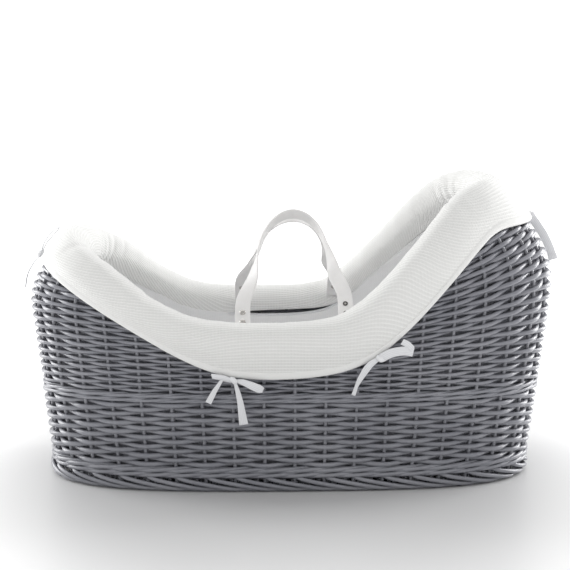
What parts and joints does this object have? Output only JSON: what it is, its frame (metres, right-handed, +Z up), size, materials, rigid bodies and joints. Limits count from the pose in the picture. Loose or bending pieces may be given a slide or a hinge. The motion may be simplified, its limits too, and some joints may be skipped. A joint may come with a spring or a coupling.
{
  "type": "moses basket",
  "caption": "Woven willow moses basket with a dipped rim, a padded waffle dressing over the rim, tape ties, two swing handles and a mattress.",
  "frame": {"origin": "middle of the base outline at floor level", "axes": "+X towards the raised head end, +Y towards the far long side, +Z up"},
  "size_m": [0.8116, 0.4314, 0.4481],
  "materials": {
    "willow": "grey painted willow, semi-gloss",
    "waffle_cotton": "white waffle cotton",
    "lining_cotton": "plain white cotton, matt",
    "wadding": "polyester wadding",
    "cotton_tape": "folded cotton tape",
    "leatherette": "white leatherette, satin",
    "nickel": "polished nickel",
    "foam": "open-cell foam",
    "ticking": "quilted white cotton"
  },
  "bodies": {
    "basket": {"base_sticks": "willow", "base_weave": "willow", "foot_border": "willow", "stakes": "willow", "lower_wale": "willow", "lower_weave": "willow", "middle_wale": "willow", "upper_weave": "willow", "rim_border": "willow", "dressing_cover": "waffle_cotton", "dressing_wadding": "wadding", "lining": "lining_cotton", "hem_binding": "cotton_tape", "near_slot_binding": "cotton_tape", "far_slot_binding": "cotton_tape", "near_left_tie": "cotton_tape", "near_right_tie": "cotton_tape", "far_left_tie": "cotton_tape", "far_right_tie": "cotton_tape", "head_tie": "cotton_tape", "foot_tie": "cotton_tape", "near_strap_ends": "leatherette", "far_strap_ends": "leatherette", "near_studs": "nickel", "far_studs": "nickel", "near_stud_backs": "nickel", "far_stud_backs": "nickel"},
    "near_handle": {"near_strap": "leatherette"},
    "far_handle": {"far_strap": "leatherette"},
    "mattress": {"mattress_foam": "foam", "mattress_cover": "ticking", "mattress_underside": "ticking"}
  },
  "joints": [
    {"name": "near_handle_swing", "type": "hinge", "parent": "basket", "child": "near_handle", "pos_m": [0, -0.12297, 0.26819], "axis": [0.9968, 0, 0.0802], "range_deg": [0, 120]},
    {"name": "far_handle_swing", "type": "hinge", "parent": "basket", "child": "far_handle", "pos_m": [0, 0.12297, 0.26819], "axis": [-0.9968, 0, -0.0802], "range_deg": [0, 120]},
    {"name": "mattress_lift", "type": "slide", "parent": "basket", "child": "mattress", "axis": [0, 0, 1], "range_m": [0, 0.13]}
  ]
}
